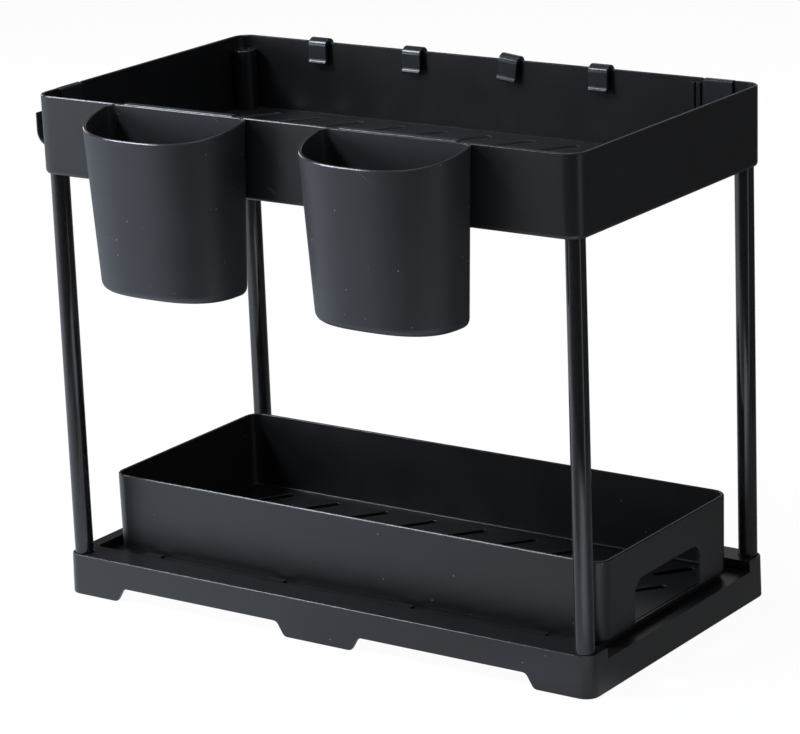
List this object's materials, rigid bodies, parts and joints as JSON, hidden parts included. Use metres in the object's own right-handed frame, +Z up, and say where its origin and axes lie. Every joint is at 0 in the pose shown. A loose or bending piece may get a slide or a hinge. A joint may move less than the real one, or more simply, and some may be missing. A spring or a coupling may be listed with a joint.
{
  "type": "pull-out organizer",
  "caption": "Two-tier pull-out organizer: base tray with sliding drawer, tube posts, slotted top basket, and cups and hooks hung over its rim.",
  "frame": {"origin": "on the surface that the base's feet stand on, under the middle of the whole object's box", "axes": "+X is the long way, towards the end where the drawer pulls out; the cups hang at the front, -Y; +Z up"},
  "size_m": [0.4092, 0.2832, 0.3271],
  "materials": {
    "black_plastic": "satin moulded plastic",
    "black_tube": "smooth glossy tube",
    "slate_plastic": "matt dark slate plastic",
    "gloss_hook": "glossy dark strip"
  },
  "bodies": {
    "stand": {"base_tray": "black_plastic", "top_basket": "black_plastic", "front_left_post": "black_tube", "front_right_post": "black_tube", "back_left_post": "black_tube", "back_right_post": "black_tube"},
    "drawer": {"drawer": "black_plastic"},
    "left_cup": {"left_cup": "slate_plastic"},
    "right_cup": {"right_cup": "slate_plastic"},
    "back_hook_1": {"back_hook_1": "gloss_hook"},
    "back_hook_2": {"back_hook_2": "gloss_hook"},
    "back_hook_3": {"back_hook_3": "gloss_hook"},
    "back_hook_4": {"back_hook_4": "gloss_hook"},
    "side_hook": {"side_hook": "gloss_hook"},
    "corner_hook": {"corner_hook": "gloss_hook"}
  },
  "joints": [
    {"name": "drawer_slide", "type": "slide", "parent": "stand", "child": "drawer", "axis": [1, 0, 0], "range_m": [0, 0.2]},
    {"name": "left_cup_lift", "type": "slide", "parent": "stand", "child": "left_cup", "axis": [0, 0, 1], "range_m": [0, 0.014]},
    {"name": "right_cup_lift", "type": "slide", "parent": "stand", "child": "right_cup", "axis": [0, 0, 1], "range_m": [0, 0.014]},
    {"name": "back_hook_1_lift", "type": "slide", "parent": "stand", "child": "back_hook_1", "axis": [0, 0, 1], "range_m": [0, 0.018]},
    {"name": "back_hook_2_lift", "type": "slide", "parent": "stand", "child": "back_hook_2", "axis": [0, 0, 1], "range_m": [0, 0.018]},
    {"name": "back_hook_3_lift", "type": "slide", "parent": "stand", "child": "back_hook_3", "axis": [0, 0, 1], "range_m": [0, 0.018]},
    {"name": "back_hook_4_lift", "type": "slide", "parent": "stand", "child": "back_hook_4", "axis": [0, 0, 1], "range_m": [0, 0.018]},
    {"name": "side_hook_lift", "type": "slide", "parent": "stand", "child": "side_hook", "axis": [0, 0, 1], "range_m": [0, 0.022]},
    {"name": "corner_hook_lift", "type": "slide", "parent": "stand", "child": "corner_hook", "axis": [0, 0, 1], "range_m": [0, 0.022]}
  ]
}
